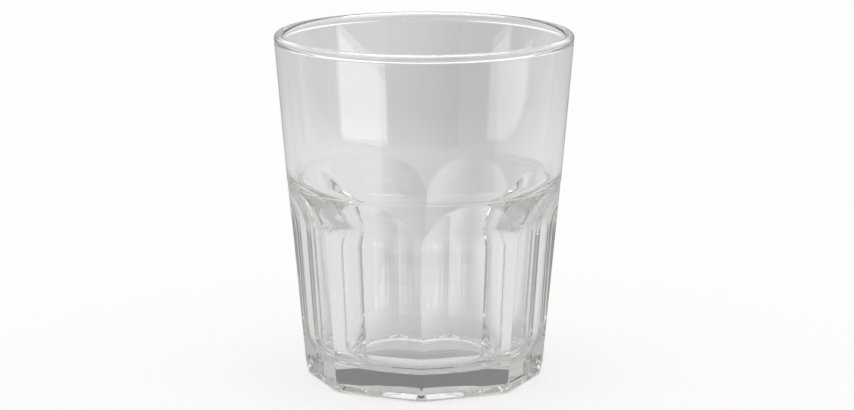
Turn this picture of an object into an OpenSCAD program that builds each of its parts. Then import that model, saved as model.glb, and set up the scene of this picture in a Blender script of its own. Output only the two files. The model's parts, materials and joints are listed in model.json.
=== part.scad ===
// Juice glass: a thin round upper wall over a lower body with eight flat facets.
// One moulding, given as its four zones, which meet face to face on level planes.
// Sizes in millimetres, +Z up, origin under the middle of the base, a corner of the base towards -Y.

/* [Outside] */

// height from the underside to the top of the lip
glass_h = 90; // [75:0.5:120]
// radius of the glass at the lip
rim_r = 38.6; // [30:0.1:50]
// height of the crease between the round wall and the facets
ring_h = 51.7; // [40:0.1:65]
// radius lost from the lip down to the crease
ring_taper = 3.1; // [1:0.1:6]
// radius lost from the crease down to the corners of the base
base_taper = 4.7; // [1:0.1:8]
// radius taken off the corners at the underside by the heel
heel_cut = 0.65; // [0.2:0.05:1.2]
// height at which the heel runs out into the corners
heel_h = 3.2; // [1:0.1:5]

/* [Facets] */

// number of facets round the lower body
facet_count = 8; // [7:1:10]
// height of the scoop that ends each facet in an arch
scoop_h = 13.3; // [8:0.1:30]
// height from the top of each arch to the crease
arch_gap = 0.2; // [0.1:0.05:4]
// how far the corners between facets lie inside the round body at the base
corner_inset = 0.35; // [0.2:0.05:1]

/* [Lip and wall] */

// radius of the rounded lip
bead_r = 1.25; // [1:0.05:1.8]
// height of plain wall that belongs to the lip zone
lip_skirt = 0.4; // [0.2:0.1:4]
// wall thickness just under the lip
lip_wall = 1.9; // [1.2:0.1:2.4]
// wall thickness at the shoulder
ring_wall = 2; // [1.2:0.1:4]

/* [Hollow] */

// height from the crease up to where the upper wall turns into the shoulder
shoulder_rise = 1.3; // [0:0.1:3]
// height of the shoulder
shoulder_h = 11.4; // [8:0.1:15]
// glass between the plane of a facet and the hollow at the foot of the shoulder
shoulder_wall = 4.3; // [3:0.1:6]
// rounding at the top of the shoulder
shoulder_top_round = 7; // [3:0.1:10]
// rounding at the foot of the shoulder
shoulder_foot_round = 14; // [6:0.1:18]
// glass between the plane of a facet and the hollow at the floor
floor_wall = 2.9; // [2:0.1:6]
// thickness of the bottom
floor_h = 6; // [4:0.1:12]
// rounding between floor and wall
floor_round = 5.5; // [3:0.1:8]
// height of that rounding that belongs to the bottom
slab_lip = 0.6; // [0.2:0.1:1.2]

/* [Underside] */

// depth of the hollow in the underside, inside the ring that the glass stands on
recess_h = 1.3; // [0.3:0.1:2]
// width of that ring at the middle of a facet
stand_ring = 2.5; // [1.5:0.1:6]

/* [Hidden] */

$fn = 96;
full_turn = 360;
right_angle = 90;
// reach of every cut past the body
overrun = 5;

facet_turn = full_turn / facet_count;
half_facet = facet_turn / 2;
corner_turn = half_facet - right_angle;

ring_r = rim_r - ring_taper;
base_r = ring_r - base_taper;
bead_h = glass_h - bead_r;
lip_zone_z = glass_h - 2 * bead_r - lip_skirt;
arch_h = ring_h - arch_gap;
flat_h = arch_h - scoop_h;
edge_slope = (ring_r - base_r) / ring_h;
round_base_r = base_r + corner_inset;
lower_slope = (ring_r - round_base_r) / ring_h;
upper_slope = (rim_r - ring_r) / (bead_h - ring_h);
function edge_r(z) = base_r + edge_slope * z;
function flat_r(z) = edge_r(z) * cos(half_facet);
function body_r(z) = z < ring_h ? round_base_r + lower_slope * z : ring_r + upper_slope * (z - ring_h);

// lean of a facet and the scoop that ends it in an arch
base_apothem = flat_r(0);
lean = atan(edge_slope * cos(half_facet));
arch_out = body_r(arch_h) - base_apothem;
arch_along = arch_out * sin(lean) + arch_h * cos(lean);
arch_depth = arch_out * cos(lean) - arch_h * sin(lean);
flat_along = flat_h / cos(lean);
scoop_r = (pow(arch_along - flat_along, 2) + pow(arch_depth, 2)) / (2 * arch_depth);

// corners of the hollow's profile from the lip down to the floor
lip_inner_r = rim_r - lip_wall;
shoulder_top_h = ring_h + shoulder_rise;
shoulder_foot_h = shoulder_top_h - shoulder_h;
shoulder_top_r = body_r(shoulder_top_h) - ring_wall;
shoulder_foot_r = flat_r(shoulder_foot_h) - shoulder_wall;
floor_r = flat_r(floor_h) - floor_wall;
inner_slope = (lip_inner_r - shoulder_top_r) / (bead_h - shoulder_top_h);
mouth_h = glass_h + overrun;
mouth = [shoulder_top_r + inner_slope * (mouth_h - shoulder_top_h), mouth_h];
shoulder_top = [shoulder_top_r, shoulder_top_h];
shoulder_foot = [shoulder_foot_r, shoulder_foot_h];
floor_edge = [floor_r, floor_h];
floor_middle = [0, floor_h];
mouth_middle = [0, mouth_h];

// a rounding of radius r at corner p between the directions to a and b
function unit(v) = v / norm(v);
function spread(p, a, b) = acos(unit(a - p) * unit(b - p));
function touch(p, a, b, r) = p + unit(a - p) * r / tan(spread(p, a, b) / 2);
function centre(p, a, b, r) = p + unit(unit(a - p) + unit(b - p)) * r / sin(spread(p, a, b) / 2);

slab_h = floor_h + slab_lip;
recess_r = base_apothem - stand_ring;

module hollow_profile() {
    difference() {
        union() {
            polygon([
                mouth,
                touch(shoulder_top, mouth, shoulder_foot, shoulder_top_round),
                touch(shoulder_top, shoulder_foot, mouth, shoulder_top_round),
                touch(shoulder_foot, shoulder_top, floor_edge, shoulder_foot_round),
                touch(shoulder_foot, floor_edge, shoulder_top, shoulder_foot_round),
                touch(floor_edge, shoulder_foot, floor_middle, floor_round),
                touch(floor_edge, floor_middle, shoulder_foot, floor_round),
                floor_middle,
                mouth_middle
            ]);
            translate(centre(shoulder_top, mouth, shoulder_foot, shoulder_top_round))
                circle(r = shoulder_top_round);
            translate(centre(floor_edge, shoulder_foot, floor_middle, floor_round))
                circle(r = floor_round);
        }
        translate(centre(shoulder_foot, shoulder_top, floor_edge, shoulder_foot_round))
            circle(r = shoulder_foot_round);
    }
}

module hollow() {
    rotate_extrude() hollow_profile();
}

// what one facet takes off: a leaning slab, and a level cylinder that ends it in an arch
module facet_cut() {
    translate([base_apothem, 0, 0])
        rotate([0, lean, 0]) {
            translate([0, -rim_r, -overrun])
                cube([rim_r, 2 * rim_r, flat_along + overrun]);
            translate([scoop_r, 0, flat_along])
                rotate([right_angle, 0, 0])
                    cylinder(r = scoop_r, h = 2 * rim_r, center = true);
        }
}

module lower_body() {
    difference() {
        cylinder(r1 = round_base_r, r2 = ring_r, h = ring_h);
        for (k = [0 : facet_count - 1])
            rotate([0, 0, corner_turn + k * facet_turn]) facet_cut();
        hollow();
    }
}

module level_cut(z0, z1) {
    translate([-glass_h, -glass_h, z0]) cube([2 * glass_h, 2 * glass_h, z1 - z0]);
}

module heel() {
    heel_r = base_r - heel_cut;
    heel_slope = (edge_r(heel_h) - heel_r) / heel_h;
    cylinder(r1 = heel_r, r2 = heel_r + heel_slope * slab_h, h = slab_h);
}

module recess() {
    translate([0, 0, -recess_h])
        cylinder(r1 = recess_r + recess_h, r2 = recess_r - recess_h, h = 2 * recess_h);
}

module rim_bead() {
    color([0.80, 0.88, 0.86])
        rotate_extrude() {
            polygon([
                [shoulder_top_r + inner_slope * (lip_zone_z - shoulder_top_h), lip_zone_z],
                [body_r(lip_zone_z), lip_zone_z],
                [rim_r, bead_h],
                [lip_inner_r, bead_h]
            ]);
            translate([rim_r - bead_r, bead_h]) circle(r = bead_r);
        }
}

module upper_wall() {
    color([0.84, 0.91, 0.89])
        difference() {
            translate([0, 0, ring_h])
                cylinder(r1 = ring_r, r2 = body_r(lip_zone_z), h = lip_zone_z - ring_h);
            hollow();
        }
}

module facet_wall() {
    color([0.76, 0.85, 0.83])
        intersection() {
            lower_body();
            level_cut(slab_h, ring_h);
        }
}

module base_slab() {
    color([0.70, 0.80, 0.78])
        difference() {
            intersection() {
                lower_body();
                level_cut(0, slab_h);
                heel();
            }
            recess();
        }
}

rim_bead();
upper_wall();
facet_wall();
base_slab();
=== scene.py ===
"""Juice glass: a thin round wall over a thick foot with eight facets, in clear moulded glass.

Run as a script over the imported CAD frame. Sizes are in metres, +Z up, a corner of the foot towards -Y.
"""

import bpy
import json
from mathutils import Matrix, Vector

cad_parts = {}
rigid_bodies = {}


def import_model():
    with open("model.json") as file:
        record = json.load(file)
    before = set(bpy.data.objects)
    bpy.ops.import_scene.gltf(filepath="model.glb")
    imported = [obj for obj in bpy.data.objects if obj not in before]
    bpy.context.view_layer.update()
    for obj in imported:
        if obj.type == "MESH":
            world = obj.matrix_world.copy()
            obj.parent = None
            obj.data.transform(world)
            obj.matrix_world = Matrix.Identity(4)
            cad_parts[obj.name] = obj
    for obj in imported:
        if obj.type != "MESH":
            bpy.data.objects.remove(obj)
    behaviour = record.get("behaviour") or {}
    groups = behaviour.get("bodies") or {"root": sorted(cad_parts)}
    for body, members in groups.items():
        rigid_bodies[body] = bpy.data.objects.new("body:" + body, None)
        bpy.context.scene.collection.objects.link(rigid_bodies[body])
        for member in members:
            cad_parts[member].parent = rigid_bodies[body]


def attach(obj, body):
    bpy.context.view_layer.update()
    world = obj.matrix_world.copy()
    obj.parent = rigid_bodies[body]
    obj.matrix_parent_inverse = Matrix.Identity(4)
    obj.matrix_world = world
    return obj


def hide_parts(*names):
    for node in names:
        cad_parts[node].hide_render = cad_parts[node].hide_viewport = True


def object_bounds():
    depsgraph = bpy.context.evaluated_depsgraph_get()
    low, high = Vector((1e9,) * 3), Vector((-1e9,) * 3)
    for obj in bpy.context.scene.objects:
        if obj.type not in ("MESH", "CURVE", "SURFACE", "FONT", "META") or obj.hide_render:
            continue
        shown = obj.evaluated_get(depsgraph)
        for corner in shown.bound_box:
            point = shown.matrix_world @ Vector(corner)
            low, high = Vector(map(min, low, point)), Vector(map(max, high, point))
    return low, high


bl_info = {
    "name": "Juice glass",
    "version": (1, 0, 0),
    "blender": (4, 5, 0),
    "location": "3D View > Sidebar > Juice glass",
    "description": "Dresses the packed juice glass in clear glass and sets a small studio round it",
    "category": "Add Mesh",
}

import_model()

import json
import math

import bmesh
import bpy

MM = 0.001
CAD_LOW, CAD_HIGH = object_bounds()
ZONES = ("rim_bead", "upper_wall", "facet_wall", "base_slab")

# Columns of one half facet, from its middle to its edge, and of the round strip beside it
FACET_STEPS = (0, .15, .3, .45, .6, .72, .82, .89, .935, .96, .975, .985, .993)
STRIP_STEPS = (0, .02, .06, .12, .2, .3, .42, .55, .68, .8, .9, .96, 1)
# Rows of the body: round the toe, up the heel, the flat, the scoop and the tip of the arch, and up the wall
TOE_ROWS, HEEL_ROWS, FLAT_ROWS, SCOOP_ROWS, ARCH_ROWS, WALL_ROWS = 6, 14, 24, 50, 12, 22
ARCH_TIP = 0.8 * MM
CREASE_BAND = 0.2 * MM
# Rows of the underside near its edge, as shares of the radius
UNDER_SHARES = (.95, .98)
# Points of the lip's two halves, of a large and of a small rounding, and the longest stretch between points
LIP_STEPS, ROUND_STEPS, EDGE_STEPS = 18, 12, 6
HOLLOW_STRETCH, UNDER_STRETCH = 2.0 * MM, 4.0 * MM
# Width over which the lip runs into the inner wall
LIP_BLEND = 0.35 * MM
# Share above which a point follows the cut, and lengths for welding the copies and for clearing slivers
LEAST_SHARE = 0.001
WELD, SLIVER = 2e-6, 1e-7

WHITE = (1.0, 1.0, 1.0, 1.0)
# How far the ripple in the glass is drawn out upwards
RIPPLE_STRETCH = (1.0, 1.0, 0.16)
RIPPLE_DETAIL = 1.0


def size(name, description, mm):
    """A length that a user may change, given in millimetres"""
    return bpy.props.FloatProperty(
        name=name, description=description, default=mm * MM, min=0.0, precision=5, unit="LENGTH")


class GlassSizes(bpy.types.PropertyGroup):
    """Sizes of the glass as in its CAD source, with the fine details that the solids leave out"""
    height: size("Height", "From the underside to the top of the lip", (CAD_HIGH.z - CAD_LOW.z) / MM)
    lip_radius: size("Lip radius", "Outer radius at the lip", CAD_HIGH.x / MM)
    crease_height: size("Crease height", "Where the round wall ends and the facets begin", 51.7)
    crease_radius: size("Crease radius", "Outer radius at that height", 35.5)
    corner_radius: size("Corner radius", "From the axis to a corner of the foot", 30.8)
    corner_inset: size("Corner inset", "How far the corners lie inside the round body at the foot", 0.35)
    crease_step: size("Crease step", "How far the round body steps in where the facets begin", 0.12)
    facets: bpy.props.IntProperty(
        name="Facets", description="Number of facets round the foot", default=8, min=5, max=16)
    flat_height: size("Flat height", "Where each flat facet turns into its scoop", 38.2)
    arch_height: size("Arch height", "Top of the arch that ends each facet", 51.5)
    heel_cut: size("Heel cut", "Radius taken off the corners at the underside", 0.65)
    heel_height: size("Heel height", "Where the heel runs out into the corners", 3.2)
    toe_round: size("Toe rounding", "Small rounding along the edge of the underside", 0.35)
    edge_round: size("Edge rounding", "Width over which the edges of the facets are softened", 0.3)
    bead_radius: size("Bead radius", "Radius of the rounded lip", 1.25)
    lip_wall: size("Lip wall", "Wall thickness just under the lip", 1.9)
    crease_wall: size("Crease wall", "Wall thickness where the shoulder begins", 2)
    shoulder_top: size("Shoulder top", "Height at which the inner wall turns in", 53)
    shoulder_foot: size("Shoulder foot", "Height at which the shoulder meets the lower hollow", 41.6)
    shoulder_foot_radius: size("Shoulder foot radius", "Radius of the hollow at that height", 27.649)
    shoulder_top_round: size("Shoulder top rounding", "Rounding where the shoulder begins", 7)
    shoulder_foot_round: size("Shoulder foot rounding", "Rounding where the shoulder ends", 14)
    floor_height: size("Floor height", "Height of the floor of the hollow", 6)
    floor_radius: size("Floor radius", "Radius of the hollow at its floor", 26.06)
    floor_round: size("Floor rounding", "Rounding between floor and wall", 5.5)
    recess_height: size("Recess height", "Depth of the hollow in the underside", 1.3)
    recess_radius: size("Recess radius", "Radius of that hollow", 25.956)
    recess_round: size("Recess rounding", "Rounding of its edges", 0.3)


class GlassFinish(bpy.types.PropertyGroup):
    """Finish of the glass"""
    tint: bpy.props.FloatVectorProperty(
        name="Tint", description="Colour that thick glass takes on", default=(0.80, 0.82, 0.79),
        min=0.0, max=1.0, subtype="COLOR")
    density: bpy.props.FloatProperty(
        name="Density", description="How fast the tint builds up with thickness, per metre",
        default=8.0, min=0.0)
    ior: bpy.props.FloatProperty(
        name="Refraction", description="Refractive index", default=1.52, min=1.0, max=2.0)
    ripple_scale: bpy.props.FloatProperty(
        name="Ripple scale", description="Waves of the ripple in the surface, per metre",
        default=160.0, min=0.0)
    ripple_depth: bpy.props.FloatProperty(
        name="Ripple depth", description="Height of the ripple in the surface", default=1.2e-5, min=0.0,
        precision=6, unit="LENGTH")


class StudioSettings(bpy.types.PropertyGroup):
    """The studio round the glass"""
    floor_colour: bpy.props.FloatVectorProperty(
        name="Floor colour", description="Colour of the pale floor", default=(0.80, 0.80, 0.79),
        min=0.0, max=1.0, subtype="COLOR")
    floor_lift: bpy.props.FloatProperty(
        name="Floor lift", description="White added to the floor where the camera sees it",
        default=0.55, min=0.0)
    glass_lift: bpy.props.FloatProperty(
        name="Glass lift", description="White added to the floor where it is seen through the glass",
        default=0.19, min=0.0)
    # Painted light: white added to the floor seen through the glass close to it, a painted pool of light
    # round the glass
    near_painted_light: bpy.props.FloatProperty(
        name="Near lift", description="The same close to the glass", default=0.30, min=0.0)
    room_level: bpy.props.FloatProperty(
        name="Room level", description="Level of the light from all round", default=0.55, min=0.0)
    turn: bpy.props.FloatProperty(
        name="Turn", description="Turn of the camera and the studio round the glass",
        default=math.radians(1.4), subtype="ANGLE")
    lens: bpy.props.FloatProperty(
        name="Lens", description="Focal length on a 36 mm wide sensor", default=135.0, min=1.0)


class Outline:
    """The outline of the glass, worked out from its sizes"""

    def __init__(self, sizes):
        self.s = sizes
        s = sizes
        self.half = math.pi / s.facets
        self.bead_height = s.height - s.bead_radius
        self.corner_slope = (s.crease_radius - s.corner_radius) / s.crease_height
        self.round_base = s.corner_radius + s.corner_inset
        self.low_slope = (s.crease_radius - self.round_base) / s.crease_height
        self.high_slope = (s.lip_radius - s.crease_radius) / (self.bead_height - s.crease_height)
        # the leaning facet and the level scoop that touches it where the flat ends
        self.apothem = s.corner_radius * math.cos(self.half)
        self.lean = math.atan(self.corner_slope * math.cos(self.half))
        out = self.round_radius(s.arch_height) - self.apothem
        along = out * math.sin(self.lean) + s.arch_height * math.cos(self.lean)
        depth = out * math.cos(self.lean) - s.arch_height * math.sin(self.lean)
        flat_along = s.flat_height / math.cos(self.lean)
        self.scoop = ((along - flat_along) ** 2 + depth ** 2) / (2 * depth)
        self.scoop_out = self.apothem + self.scoop * math.cos(self.lean) + flat_along * math.sin(self.lean)
        self.scoop_height = flat_along * math.cos(self.lean) - self.scoop * math.sin(self.lean)
        # the cone that takes the corners off at the heel
        self.heel_base = s.corner_radius - s.heel_cut
        heel_top = s.corner_radius + self.corner_slope * s.heel_height
        self.heel_slope = (heel_top - self.heel_base) / s.heel_height
        # the inner wall above the shoulder
        self.shoulder_top_radius = self.round_radius(s.shoulder_top) - s.crease_wall
        self.inner_slope = ((s.lip_radius - s.lip_wall - self.shoulder_top_radius)
                            / (self.bead_height - s.shoulder_top))

    def round_radius(self, z):
        """Radius of the round body before the facets are cut"""
        s = self.s
        if z < s.crease_height:
            return self.round_base + self.low_slope * z
        return s.crease_radius + self.high_slope * (z - s.crease_height)

    def facet_distance(self, z):
        """Distance of the middle of a facet from the axis"""
        flat = self.s.flat_height
        plane = self.apothem + math.tan(self.lean) * min(z, flat)
        if z <= flat:
            return plane
        return self.scoop_out - math.sqrt(self.scoop ** 2 - (z - self.scoop_height) ** 2)

    def half_angle(self, z):
        """Angle from the middle of a facet to its edge"""
        reach = min(self.round_radius(z), self.heel_base + self.heel_slope * z)
        return min(self.half, math.acos(max(-1.0, min(1.0, self.facet_distance(z) / reach))))

    def inner_radius(self, z):
        """Radius of the inner wall above the shoulder"""
        return self.shoulder_top_radius + self.inner_slope * (z - self.s.shoulder_top)

    def lip(self):
        """Section of the lip, over its top and down its inner side"""
        s = self.s
        middle = s.lip_radius - s.bead_radius
        points = []
        for i in range(1, LIP_STEPS + 1):
            a = math.pi * i / LIP_STEPS
            points.append((middle + s.bead_radius * math.cos(a),
                           self.bead_height + s.bead_radius * math.sin(a)))
        for i in range(1, LIP_STEPS + 1):
            drop = s.bead_radius * i / LIP_STEPS
            bead = middle - math.sqrt(max(0.0, s.bead_radius ** 2 - drop ** 2))
            wall = self.inner_radius(self.bead_height - drop)
            h = max(LIP_BLEND - abs(bead - wall), 0.0) / LIP_BLEND
            points.append((min(bead, wall) - h * h * LIP_BLEND / 4, self.bead_height - drop))
        return points

    def hollow(self):
        """Section of the hollow from under the lip to the middle of its floor"""
        s = self.s
        start = self.bead_height - s.bead_radius
        corners = [(self.inner_radius(start), start),
                   (self.shoulder_top_radius, s.shoulder_top),
                   (s.shoulder_foot_radius, s.shoulder_foot),
                   (s.floor_radius, s.floor_height),
                   (0.0, s.floor_height)]
        rounds = (s.shoulder_top_round, s.shoulder_foot_round, s.floor_round)
        points = [corners[0]]
        for before, corner, after, radius in zip(corners, corners[1:], corners[2:], rounds):
            points += arc(before, corner, after, radius, ROUND_STEPS)
        points.append(corners[-1])
        return spaced(points, HOLLOW_STRETCH)[1:]

    def recess(self):
        """Section of the hollow in the underside, from its middle to the ring that the glass stands on"""
        s = self.s
        corners = [(0.0, s.recess_height), (s.recess_radius - s.recess_height, s.recess_height),
                   (s.recess_radius, 0.0), (s.recess_radius + s.recess_height, 0.0)]
        points = [corners[0]]
        for before, corner, after in zip(corners, corners[1:], corners[2:]):
            points += arc(before, corner, after, s.recess_round, EDGE_STEPS)
        return spaced(points, UNDER_STRETCH)


def arc(before, corner, after, radius, count):
    """Points of a rounding at a corner of a section"""
    def unit(a, b):
        n = math.hypot(b[0] - a[0], b[1] - a[1])
        return (b[0] - a[0]) / n, (b[1] - a[1]) / n
    u, v = unit(corner, before), unit(corner, after)
    angle = math.acos(max(-1.0, min(1.0, u[0] * v[0] + u[1] * v[1])))
    touch = radius / math.tan(angle / 2)
    reach = radius / math.sin(angle / 2)
    w = (u[0] + v[0], u[1] + v[1])
    n = math.hypot(*w)
    centre = (corner[0] + w[0] / n * reach, corner[1] + w[1] / n * reach)
    first = (corner[0] + u[0] * touch - centre[0], corner[1] + u[1] * touch - centre[1])
    last = (corner[0] + v[0] * touch - centre[0], corner[1] + v[1] * touch - centre[1])
    way = 1 if first[0] * last[1] - first[1] * last[0] > 0 else -1
    points = []
    for i in range(count + 1):
        a = way * (math.pi - angle) * i / count
        points.append((centre[0] + first[0] * math.cos(a) - first[1] * math.sin(a),
                       centre[1] + first[0] * math.sin(a) + first[1] * math.cos(a)))
    return points


def spaced(points, step):
    """The same section with no stretch longer than a step"""
    out = [points[0]]
    for a, b in zip(points, points[1:]):
        n = max(1, math.ceil(math.hypot(b[0] - a[0], b[1] - a[1]) / step))
        out += [(a[0] + (b[0] - a[0]) * i / n, a[1] + (b[1] - a[1]) * i / n) for i in range(1, n + 1)]
    return out


def heights(*stops):
    """Heights from stop to stop, as (end, number of rows) after a first height"""
    out = [stops[0]]
    for end, count in stops[1:]:
        start = out[-1]
        out += [start + (end - start) * i / count for i in range(1, count + 1)]
    return out


def sector_mesh(outline):
    """One facet's share of the round body before the cut, with how far each point follows the cut"""
    s = outline.s

    def columns(z):
        a = outline.half_angle(z)
        side = [a * t for t in FACET_STEPS] + [a + (outline.half - a) * t for t in STRIP_STEPS]
        return [-t for t in reversed(side)] + side[1:]

    rows = []
    foot = columns(0.0)
    for r, z in outline.recess():
        rows.append((foot, r, z, 0.0))
    for share in UNDER_SHARES:
        rows.append((foot, share * outline.round_radius(0.0), 0.0, share))
    toe = s.toe_round
    for z in ([toe - toe * math.cos(math.pi / 2 * i / TOE_ROWS) for i in range(TOE_ROWS)]
              + heights(toe, (s.heel_height, HEEL_ROWS), (s.flat_height, FLAT_ROWS),
                        (s.arch_height - ARCH_TIP, SCOOP_ROWS), (s.arch_height, ARCH_ROWS))):
        rows.append((columns(z), outline.round_radius(z) - s.crease_step, z, 1.0))
    top = columns(s.arch_height)
    for z in heights(s.crease_height, (s.crease_height + CREASE_BAND, 1), (outline.bead_height, WALL_ROWS)):
        rows.append((top, outline.round_radius(z), z, 0.0))
    for r, z in outline.lip() + outline.hollow():
        rows.append((top, r, z, 0.0))

    points, shares, faces = [], [], []
    wide = len(foot)
    for angles, r, z, share in rows:
        points += [(r * math.cos(a), r * math.sin(a), z) for a in angles]
        shares += [share] * wide
    for i in range(len(rows) - 1):
        a, b = i * wide, (i + 1) * wide
        faces += [(a + j, a + j + 1, b + j + 1, b + j) for j in range(wide - 1)]
    mesh = bpy.data.meshes.new("glass_sector")
    mesh.from_pydata(points, [], faces)
    mesh.attributes.new("facet_share", "FLOAT", "POINT").data.foreach_set("value", shares)
    return mesh


class Graph:
    """Short calls for building a node tree"""

    def __init__(self, tree):
        self.tree = tree

    def put(self, socket, value):
        """Link another socket into this one, or set its value"""
        if isinstance(value, bpy.types.NodeSocket):
            self.tree.links.new(value, socket)
        else:
            socket.default_value = value

    def node(self, kind, **sockets):
        """A node with inputs set by name, where _ stands for a blank"""
        made = self.tree.nodes.new(kind)
        for name, value in sockets.items():
            self.put(made.inputs[name.replace("_", " ")], value)
        return made

    def join(self, kind, *values):
        """First output of a node with inputs set in their order"""
        made = self.tree.nodes.new(kind)
        for socket, value in zip(made.inputs, values):
            self.put(socket, value)
        return made.outputs[0]

    def calc(self, operation, *values):
        """Result of a sum"""
        made = self.join("ShaderNodeMath", *values)
        made.node.operation = operation
        return made

    def ease(self, value, start, end, first, last):
        """A smooth step from the first to the last level, as the value goes from start to end"""
        made = self.node("ShaderNodeMapRange", Value=value, From_Min=start, From_Max=end,
                         To_Min=first, To_Max=last)
        made.interpolation_type = "SMOOTHSTEP"
        return made.outputs[0]


def empty_graph(owner):
    """The cleared node tree of a material or a world"""
    owner.use_nodes = True
    owner.node_tree.nodes.clear()
    return Graph(owner.node_tree)


FACET_SIZES = ("First turn", "Apothem", "Lean", "Flat height", "Scoop radius", "Scoop out", "Scoop height",
               "Heel radius", "Heel slope", "Toe rounding", "Edge rounding", "Weld")
FACET_INPUTS = (("Facets", "NodeSocketInt"), *((name, "NodeSocketFloat") for name in FACET_SIZES),
                ("Material", "NodeSocketMaterial"))


def facet_tree():
    """Cuts the facet with its scooped arch and its heel, and sets one copy for each facet round the axis"""
    tree = bpy.data.node_groups.new("facet_ring", "GeometryNodeTree")
    tree.interface.new_socket("Geometry", in_out="INPUT", socket_type="NodeSocketGeometry")
    for name, kind in FACET_INPUTS:
        tree.interface.new_socket(name, in_out="INPUT", socket_type=kind)
    tree.interface.new_socket("Geometry", in_out="OUTPUT", socket_type="NodeSocketGeometry")

    graph = Graph(tree)
    node, calc = graph.node, graph.calc
    given = node("NodeGroupInput").outputs
    place = node("ShaderNodeSeparateXYZ", Vector=node("GeometryNodeInputPosition").outputs[0])
    x, y, z = place.outputs
    named = node("GeometryNodeInputNamedAttribute", Name="facet_share")
    share = next(o for o in named.outputs if o.name == "Attribute" and o.enabled)
    angle = calc("ARCTAN2", y, x)
    radius = calc("SQRT", calc("ADD", calc("MULTIPLY", x, x), calc("MULTIPLY", y, y)))
    body = calc("DIVIDE", radius, share)
    # distance of the facet from the axis: the leaning flat, and above it the scoop
    flat = calc("MULTIPLY_ADD", calc("MINIMUM", z, given["Flat height"]), given["Lean"], given["Apothem"])
    flat_end = calc("MULTIPLY_ADD", given["Flat height"], given["Lean"], given["Apothem"])
    up = calc("SUBTRACT", calc("MAXIMUM", z, given["Flat height"]), given["Scoop height"])
    deep = calc("SQRT", calc("SUBTRACT", calc("MULTIPLY", given["Scoop radius"], given["Scoop radius"]),
                             calc("MULTIPLY", up, up)))
    scoop = calc("SUBTRACT", calc("SUBTRACT", given["Scoop out"], deep), flat_end)
    away = calc("ADD", flat, scoop)
    # this facet, the next one, the round body and the heel, with softened edges between them
    pitch = calc("DIVIDE", 2 * math.pi, given["Facets"])
    here = calc("DIVIDE", away, calc("COSINE", angle))
    beside = calc("DIVIDE", away, calc("COSINE", calc("SUBTRACT", pitch, calc("ABSOLUTE", angle))))
    cut = calc("SMOOTH_MIN", here, beside, given["Edge rounding"])
    cut = calc("SMOOTH_MIN", cut, body, given["Edge rounding"])
    heel = calc("MULTIPLY_ADD", z, given["Heel slope"], given["Heel radius"])
    cut = calc("SMOOTH_MIN", cut, heel, given["Edge rounding"])
    # the rounding along the edge of the underside
    toe = given["Toe rounding"]
    under = calc("MAXIMUM", calc("SUBTRACT", toe, z), 0.0)
    kept = calc("SQRT", calc("SUBTRACT", calc("MULTIPLY", toe, toe), calc("MULTIPLY", under, under)))
    cut = calc("SUBTRACT", cut, calc("SUBTRACT", toe, kept))
    grow = calc("DIVIDE", calc("MULTIPLY", cut, share), radius)
    moved = node("ShaderNodeCombineXYZ", X=calc("MULTIPLY", x, grow), Y=calc("MULTIPLY", y, grow), Z=z)
    follows = calc("GREATER_THAN", share, LEAST_SHARE)
    facet = node("GeometryNodeSetPosition", Geometry=given["Geometry"], Selection=follows,
                 Position=moved.outputs[0])
    # one copy for each facet, welded into a closed body
    spots = node("GeometryNodePoints", Count=given["Facets"])
    turn = calc("MULTIPLY_ADD", node("GeometryNodeInputIndex").outputs[0], pitch, given["First turn"])
    turned = node("ShaderNodeCombineXYZ", Z=turn)
    copies = node("GeometryNodeInstanceOnPoints", Points=spots.outputs[0], Instance=facet.outputs[0],
                  Rotation=turned.outputs[0])
    real = node("GeometryNodeRealizeInstances", Geometry=copies.outputs[0])
    welded = node("GeometryNodeMergeByDistance", Geometry=real.outputs[0], Distance=given["Weld"])
    smooth = node("GeometryNodeSetShadeSmooth", Geometry=welded.outputs[0])
    done = node("GeometryNodeSetMaterial", Geometry=smooth.outputs[0], Material=given["Material"])
    tree.links.new(done.outputs[0], tree.nodes.new("NodeGroupOutput").inputs[0])
    return tree


def clear_glass(finish):
    """Clear moulded glass: sharp refraction, a faint tint where it is thick"""
    material = bpy.data.materials.new("clear_glass")
    material.use_nodes = True
    tree = material.node_tree
    graph = Graph(tree)
    shader = tree.nodes["Principled BSDF"].inputs
    shader["Base Color"].default_value = WHITE
    shader["Roughness"].default_value = 0.0
    shader["IOR"].default_value = finish.ior
    shader["Transmission Weight"].default_value = 1.0
    # the faint ripple that a mould leaves, drawn out upwards
    place = graph.node("ShaderNodeTexCoord").outputs["Object"]
    drawn = graph.node("ShaderNodeMapping", Vector=place, Scale=RIPPLE_STRETCH).outputs["Vector"]
    ripple = graph.node("ShaderNodeTexNoise", Vector=drawn, Scale=finish.ripple_scale, Detail=RIPPLE_DETAIL)
    bump = graph.node("ShaderNodeBump", Height=ripple.outputs["Fac"], Distance=finish.ripple_depth)
    graph.put(shader["Normal"], bump.outputs["Normal"])
    depth = graph.node("ShaderNodeVolumeAbsorption", Color=(*finish.tint, 1.0), Density=finish.density)
    graph.put(tree.nodes["Material Output"].inputs["Volume"], depth.outputs["Volume"])
    return material


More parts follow.
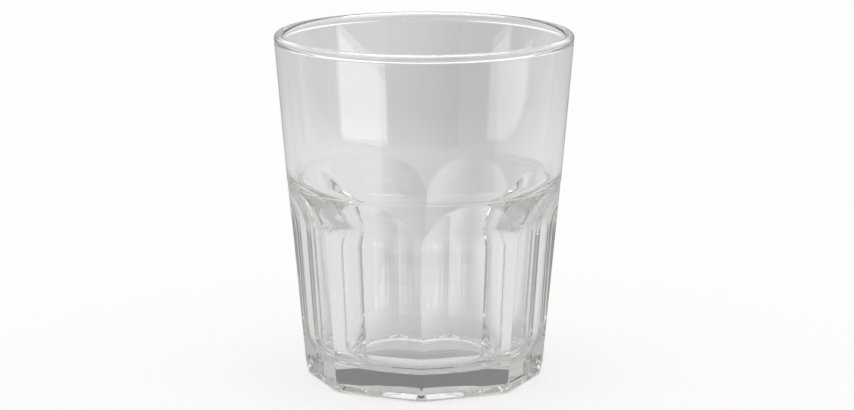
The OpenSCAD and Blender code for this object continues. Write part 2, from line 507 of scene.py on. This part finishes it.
class GLASS_OT_body(bpy.types.Operator):
    """Make the glass: one facet's share of the body, cut and repeated round the axis"""
    bl_idname = "juice_glass.body"
    bl_label = "Glass body"

    def execute(self, context):
        sizes = context.scene.glass_sizes
        outline = Outline(sizes)
        glass = bpy.data.objects.new("glass_body", sector_mesh(outline))
        context.scene.collection.objects.link(glass)
        tree = facet_tree()
        modifier = glass.modifiers.new("facet_ring", "NODES")
        modifier.node_group = tree
        values = {
            "Facets": sizes.facets, "First turn": outline.half - math.pi / 2,
            "Apothem": outline.apothem, "Lean": math.tan(outline.lean), "Flat height": sizes.flat_height,
            "Scoop radius": outline.scoop, "Scoop out": outline.scoop_out,
            "Scoop height": outline.scoop_height, "Heel radius": outline.heel_base,
            "Heel slope": outline.heel_slope, "Toe rounding": sizes.toe_round,
            "Edge rounding": sizes.edge_round, "Weld": WELD,
            "Material": clear_glass(context.scene.glass_finish),
        }
        for item in tree.interface.items_tree:
            if item.in_out == "INPUT" and item.name in values:
                modifier[item.identifier] = values[item.name]
        context.view_layer.update()
        whole = bpy.data.meshes.new_from_object(glass.evaluated_get(context.evaluated_depsgraph_get()))
        glass.modifiers.clear()
        glass.data = whole
        whole.name = "glass_body"
        if "facet_share" in whole.attributes:
            whole.attributes.remove(whole.attributes["facet_share"])

        mesh = bmesh.new()
        mesh.from_mesh(whole)
        bmesh.ops.dissolve_degenerate(mesh, edges=mesh.edges, dist=SLIVER)
        bmesh.ops.recalc_face_normals(mesh, faces=mesh.faces)
        loose = sum(1 for e in mesh.edges if len(e.link_faces) != 2)
        volume = mesh.calc_volume(signed=True)
        for face in mesh.faces:
            face.smooth = True
        mesh.to_mesh(whole)
        mesh.free()
        if loose or volume <= 0:
            raise RuntimeError(f"the glass isn't a closed body: {loose} loose edges, volume {volume}")
        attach(glass, "root")
        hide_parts(*ZONES)
        return {"FINISHED"}


# Cards round the glass, which only the glass shows. Azimuth 0 is straight behind the glass as the camera
# sees it, and grows to the right.
# Standing cards: name, from and to azimuth, distance, from and to height in metres, level
STANDING = (
    ("horizon", -70, 70, 0.9, 0, 0.30, 0.64),
    ("high_back", -70, 70, 0.9, 0.30, 0.75, 1.25),
    ("back_flag", -100, 100, 0.3, 0.07, 0.105, 0.23),
    ("right_side", 60, 100, 0.9, 0, 0.40, 0.42),
    ("right_far", 100, 147, 2.95, 0, 0.07, 3.0),
    ("right_wall", 100, 149, 0.9, 0.075, 0.40, 0.40),
    ("left_side", -78, -60, 0.9, 0, 0.40, 0.42),
    ("left_far", -121, -78, 2.95, 0, 0.07, 2.1),
    ("left_wall", -149, -78, 0.9, 0.075, 0.40, 0.40),
    ("front_flag", 149, 211, 0.9, 0, 0.60, 0.12),
    ("lamp", 176, 184, 0.6, 0.86, 0.98, 12.0),
)
# Cards on the floor: name, from and to azimuth, from and to distance in metres, level
LYING = (
    ("right_window", 100, 147, 1.0, 2.95, 3.0),
    ("left_window", -121, -78, 1.0, 2.95, 2.1),
    ("left_sheet", -147, -103, 0.225, 0.33, 0.7),
    ("right_sheet", 92, 123, 0.225, 0.33, 0.7),
    ("front_shade", 123, 213, 0.16, 0.85, 0.05),
    # under is painted light: a glowing disc beneath the glass that the glass shows in place of its shadow on
    # the floor
    ("under", 0, 360, 0.0, 0.028, 0.52),
)

# The soft light overhead: name, from and to azimuth, edges as distance and height, level
CEILING = ("ceiling", 0, 360, ((0.0, 0.8), (0.5, 0.8)), 8.0)
# Cards that are also seen straight through the glass; the others show only in its reflections
ALWAYS_SEEN = ("horizon", "high_back", "right_side", "left_side", "under")
# Bright cards that show only in reflections inside the glass, so that its outline stays clear on white
INSIDE_ONLY = ("right_far", "left_far", "right_window", "left_window")
# Cards that show only in the outer skin of the glass
OUTSIDE_ONLY = ("ceiling",)
# More passes through a surface than any ray of light makes here
MANY_PASSES = 100.0
# Share of blue in the light, for a slightly warm grey
BLUE_SHARE = 0.98
# Widest step of a card round the glass, in degrees, and how far cards and floor lie under the glass
CARD_STEP = 4
CARD_DROP, FLOOR_DROP = -0.1 * MM, -0.2 * MM
FLOOR_REACH = 3.0
# Where the floor seen through the glass passes from its near to its far level: the edge of a painted pool of
# light round the glass
NEAR_END, FAR_START = 0.26, 0.42
# The painted shadow of the glass on the floor as seen through it, a darker strip with painted light beside
# it: its middle to the right of the axis, half width, level in it and beside it
SHADE_MIDDLE, SHADE_WIDTH, SHADE_LEVEL, OPEN_LEVEL = 0.018, 0.05, 0.6, 1.2
# The camera: distance and height in metres, angle down and pan in degrees
CAMERA_AWAY, CAMERA_UP, CAMERA_DOWN, CAMERA_PAN = 0.8146, 0.2119, 11.60, 0.052
SENSOR_WIDTH = 36.0
CLIP_START = 0.01
MOST_BOUNCES, GLOSSY_BOUNCES = 64, 32


def grey(level):
    """A slightly warm grey"""
    return level, level, level * BLUE_SHARE, 1.0


def glow(name, level):
    """Plain emitter for a card, clear to any light that isn't meant to show it"""
    material = bpy.data.materials.new(name)
    graph = empty_graph(material)
    surface = graph.node("ShaderNodeEmission", Color=grey(level)).outputs[0]
    if name not in ALWAYS_SEEN:
        path = graph.node("ShaderNodeLightPath").outputs
        reflections, passes = path["Glossy Depth"], path["Transmission Depth"]
        if name in INSIDE_ONLY:
            reflections = graph.calc("MINIMUM", reflections, passes)
        elif name in OUTSIDE_ONLY:
            reflections = graph.calc("MULTIPLY_ADD", passes, -MANY_PASSES, reflections)
        shown = graph.calc("GREATER_THAN", reflections, 0.5)
        clear = graph.node("ShaderNodeBsdfTransparent").outputs[0]
        surface = graph.join("ShaderNodeMixShader", shown, clear, surface)
    graph.node("ShaderNodeOutputMaterial", Surface=surface)
    return material


class GLASS_OT_stage(bpy.types.Operator):
    """Make the floor, the cards, the room light and the camera"""
    bl_idname = "juice_glass.stage"
    bl_label = "Stage"

    def execute(self, context):
        studio = context.scene.glass_studio
        self.floor(context, studio)
        for card in STANDING:
            self.standing(context, studio, *card)
        for card in LYING:
            self.lying(context, studio, *card)
        self.card(context, studio, *CEILING)
        self.room(context, studio)
        self.camera(context, studio)
        context.scene.view_settings.view_transform = "Standard"
        context.scene.cycles.max_bounces = MOST_BOUNCES
        context.scene.cycles.transmission_bounces = MOST_BOUNCES
        context.scene.cycles.glossy_bounces = GLOSSY_BOUNCES
        return {"FINISHED"}

    def add(self, context, name, points, faces, material):
        """A piece of the stage"""
        mesh = bpy.data.meshes.new(name)
        mesh.from_pydata(points, [], faces)
        mesh.materials.append(material)
        made = bpy.data.objects.new(name, mesh)
        context.scene.collection.objects.link(made)
        return made

    def floor(self, context, studio):
        """A pale floor that keeps the shadow, lifted where the camera sees it, alone or through the glass;
        through the glass it also shows a painted pool of light near the glass and a painted shadow strip
        right of the axis
        """
        material = bpy.data.materials.new("floor")
        graph = empty_graph(material)
        ground = graph.node("ShaderNodeBsdfDiffuse", Color=(*studio.floor_colour, 1.0)).outputs[0]
        place = graph.node("ShaderNodeTexCoord").outputs["Object"]
        away = graph.node("ShaderNodeVectorMath")
        away.operation = "LENGTH"
        graph.put(away.inputs[0], place)
        # painted pool of light: through the glass, the floor is lifted more near the glass than far off
        painted_pool = graph.ease(away.outputs["Value"], NEAR_END, FAR_START, studio.near_painted_light, studio.glass_lift)
        across = graph.node("ShaderNodeSeparateXYZ", Vector=place).outputs["X"]
        # painted shadow of the glass: through the glass, the floor is darker in a strip right of the axis and
        # brighter beside it
        apart = graph.calc("ABSOLUTE", graph.calc("SUBTRACT", across, SHADE_MIDDLE))
        side = graph.ease(apart, 0.0, SHADE_WIDTH, SHADE_LEVEL, OPEN_LEVEL)
        seen = graph.node("ShaderNodeLightPath").outputs
        direct = graph.calc("MULTIPLY", seen["Is Camera Ray"], studio.floor_lift)
        through = graph.calc("MULTIPLY", painted_pool, side)
        lift = graph.calc("MULTIPLY_ADD", seen["Is Transmission Ray"], through, direct)
        lifted = graph.node("ShaderNodeEmission", Strength=lift).outputs[0]
        lit = graph.join("ShaderNodeAddShader", ground, lifted)
        graph.node("ShaderNodeOutputMaterial", Surface=lit)
        w, z = FLOOR_REACH, FLOOR_DROP
        self.add(context, "floor", [(-w, -w, z), (w, -w, z), (w, w, z), (-w, w, z)], [(0, 1, 2, 3)], material)

    def card(self, context, studio, name, start, end, edges, level):
        """A card between two edges, each given as distance from the axis and height"""
        count = max(2, math.ceil(abs(end - start) / CARD_STEP))
        points = []
        for i in range(count + 1):
            a = math.radians(start + (end - start) * i / count) - studio.turn
            points += [(r * math.sin(a), r * math.cos(a), z) for r, z in edges]
        faces = [(2 * i, 2 * i + 2, 2 * i + 3, 2 * i + 1) for i in range(count)]
        made = self.add(context, name, points, faces, glow(name, level))
        made.visible_camera = False
        made.visible_diffuse = False
        made.visible_shadow = False

    def standing(self, context, studio, name, start, end, away, low, high, level):
        """A card that stands round the glass"""
        self.card(context, studio, name, start, end, ((away, low), (away, high)), level)

    def lying(self, context, studio, name, start, end, near, far, level):
        """A card on the floor"""
        self.card(context, studio, name, start, end, ((near, CARD_DROP), (far, CARD_DROP)), level)

    def room(self, context, studio):
        """White to the camera, an even grey light to all else"""
        world = bpy.data.worlds.new("room")
        context.scene.world = world
        graph = empty_graph(world)
        seen = graph.node("ShaderNodeLightPath").outputs["Is Camera Ray"]
        white = graph.node("ShaderNodeBackground", Color=WHITE).outputs[0]
        soft = graph.node("ShaderNodeBackground", Color=grey(studio.room_level)).outputs[0]
        graph.node("ShaderNodeOutputWorld", Surface=graph.join("ShaderNodeMixShader", seen, soft, white))

    def camera(self, context, studio):
        """The camera, level across, looking down at the glass"""
        data = bpy.data.cameras.new("camera")
        data.sensor_width = SENSOR_WIDTH
        data.lens = studio.lens
        data.clip_start = CLIP_START
        camera = bpy.data.objects.new("camera", data)
        context.scene.collection.objects.link(camera)
        camera.location = (CAMERA_AWAY * math.sin(studio.turn), -CAMERA_AWAY * math.cos(studio.turn),
                           CAMERA_UP)
        camera.rotation_euler = (math.radians(90 - CAMERA_DOWN), 0.0, studio.turn - math.radians(CAMERA_PAN))
        context.scene.camera = camera


class GLASS_PT_sidebar(bpy.types.Panel):
    """Sizes, finish and studio of the juice glass"""
    bl_label = "Juice glass"
    bl_idname = "GLASS_PT_sidebar"
    bl_space_type = "VIEW_3D"
    bl_region_type = "UI"
    bl_category = "Juice glass"

    def draw(self, context):
        for group in (context.scene.glass_sizes, context.scene.glass_finish, context.scene.glass_studio):
            box = self.layout.box()
            for name in group.__annotations__:
                box.prop(group, name)
        self.layout.operator(GLASS_OT_body.bl_idname)
        self.layout.operator(GLASS_OT_stage.bl_idname)


CLASSES = (GlassSizes, GlassFinish, StudioSettings, GLASS_OT_body, GLASS_OT_stage, GLASS_PT_sidebar)


def register():
    for item in CLASSES:
        bpy.utils.register_class(item)
    bpy.types.Scene.glass_sizes = bpy.props.PointerProperty(type=GlassSizes)
    bpy.types.Scene.glass_finish = bpy.props.PointerProperty(type=GlassFinish)
    bpy.types.Scene.glass_studio = bpy.props.PointerProperty(type=StudioSettings)


def unregister():
    del bpy.types.Scene.glass_sizes
    del bpy.types.Scene.glass_finish
    del bpy.types.Scene.glass_studio
    for item in reversed(CLASSES):
        bpy.utils.unregister_class(item)


def main():
    register()
    bpy.ops.juice_glass.body()
    bpy.ops.juice_glass.stage()


if __name__ == "__main__":
    main()
